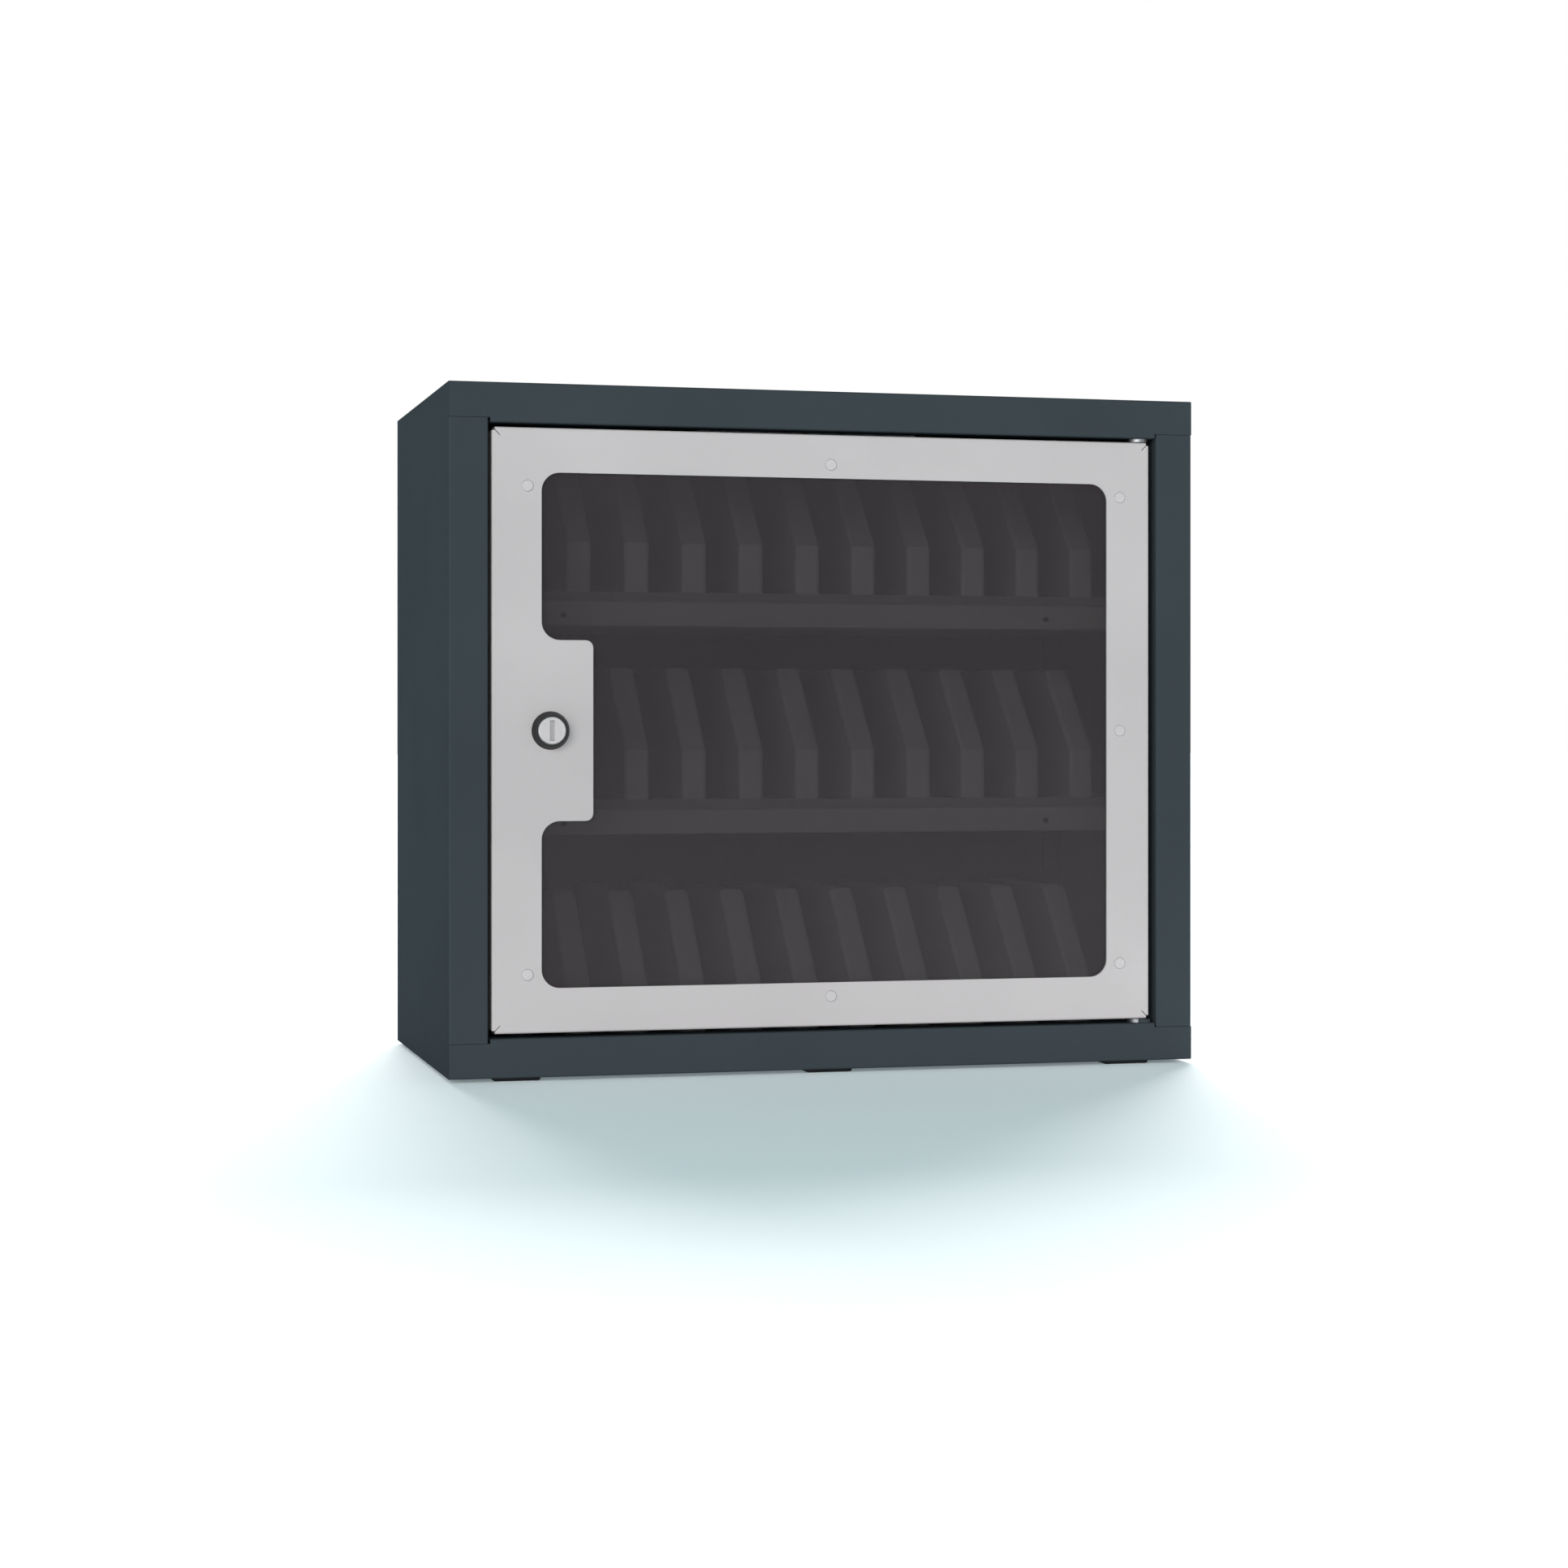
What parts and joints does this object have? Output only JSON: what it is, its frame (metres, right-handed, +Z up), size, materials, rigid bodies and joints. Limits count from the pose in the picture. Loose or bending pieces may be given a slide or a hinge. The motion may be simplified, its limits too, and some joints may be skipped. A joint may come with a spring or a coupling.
{
  "type": "phone charging kiosk",
  "caption": "Lockable steel phone charging cabinet with a windowed hinged door, cam lock and rows of upright charging bays.",
  "frame": {"origin": "middle of the bounding box's bottom face, level with the undersides of the feet", "axes": "+Z up; the door faces -Y; +X is to the right when facing the door, on the hinge side"},
  "size_m": [0.51, 0.27, 0.4525],
  "materials": {
    "case_paint": "fine satin powder coat, slate grey",
    "door_paint": "satin powder coat, light grey",
    "shelf_paint": "satin black-grey powder coat",
    "divider_plastic": "moulded, dark grey",
    "smoked_pane": "smoked clear polycarbonate, glossy",
    "rivet_aluminium": "bright, flat bevelled head",
    "zinc_steel": "zinc plated",
    "lock_nickel": "satin nickel plate",
    "lock_black": "satin black",
    "black_rubber": "matt",
    "black_plastic": "moulded, black",
    "circuit_board": "green solder mask",
    "supply_case": "bare folded aluminium"
  },
  "bodies": {
    "case": {"left_side_panel": "case_paint", "right_side_panel": "case_paint", "top_panel": "case_paint", "bottom_panel": "case_paint", "back_panel": "case_paint", "back_panel_screws": "zinc_steel", "feet": "black_rubber", "upper_shelf_tray": "shelf_paint", "upper_plinth": "shelf_paint", "upper_dividers": "divider_plastic", "upper_usb_ports": "black_plastic", "upper_charger_board": "circuit_board", "middle_shelf_tray": "shelf_paint", "middle_plinth": "shelf_paint", "middle_dividers": "divider_plastic", "middle_usb_ports": "black_plastic", "middle_charger_board": "circuit_board", "lower_plinth": "shelf_paint", "lower_dividers": "divider_plastic", "lower_usb_ports": "black_plastic", "lower_charger_board": "circuit_board", "shelf_lip_screws": "lock_black", "shelf_supports": "shelf_paint", "power_supply": "supply_case", "power_supply_screws": "zinc_steel", "power_inlet": "black_plastic", "power_inlet_pins": "zinc_steel", "power_inlet_screws": "zinc_steel", "hinge_pins": "zinc_steel", "hinge_washers": "zinc_steel", "hinge_tab": "case_paint", "door_stops": "case_paint"},
    "door": {"door_frame": "door_paint", "window_pane": "smoked_pane", "window_rivets": "rivet_aluminium", "rivet_washers": "rivet_aluminium", "hinge_bushes": "black_plastic", "lock_bezel": "lock_black", "lock_barrel": "zinc_steel", "lock_nut": "zinc_steel"},
    "lock": {"lock_plug": "lock_nickel", "lock_cam": "zinc_steel", "cam_screw": "zinc_steel"}
  },
  "joints": [
    {"name": "door_hinge", "type": "hinge", "parent": "case", "child": "door", "pos_m": [0.219, -0.121, 0.2275], "axis": [0, 0, 1], "range_deg": [0, 105]},
    {"name": "lock_turn", "type": "hinge", "parent": "door", "child": "lock", "pos_m": [-0.1886, -0.13, 0.2273], "axis": [0, 1, 0], "range_deg": [0, 90]}
  ]
}
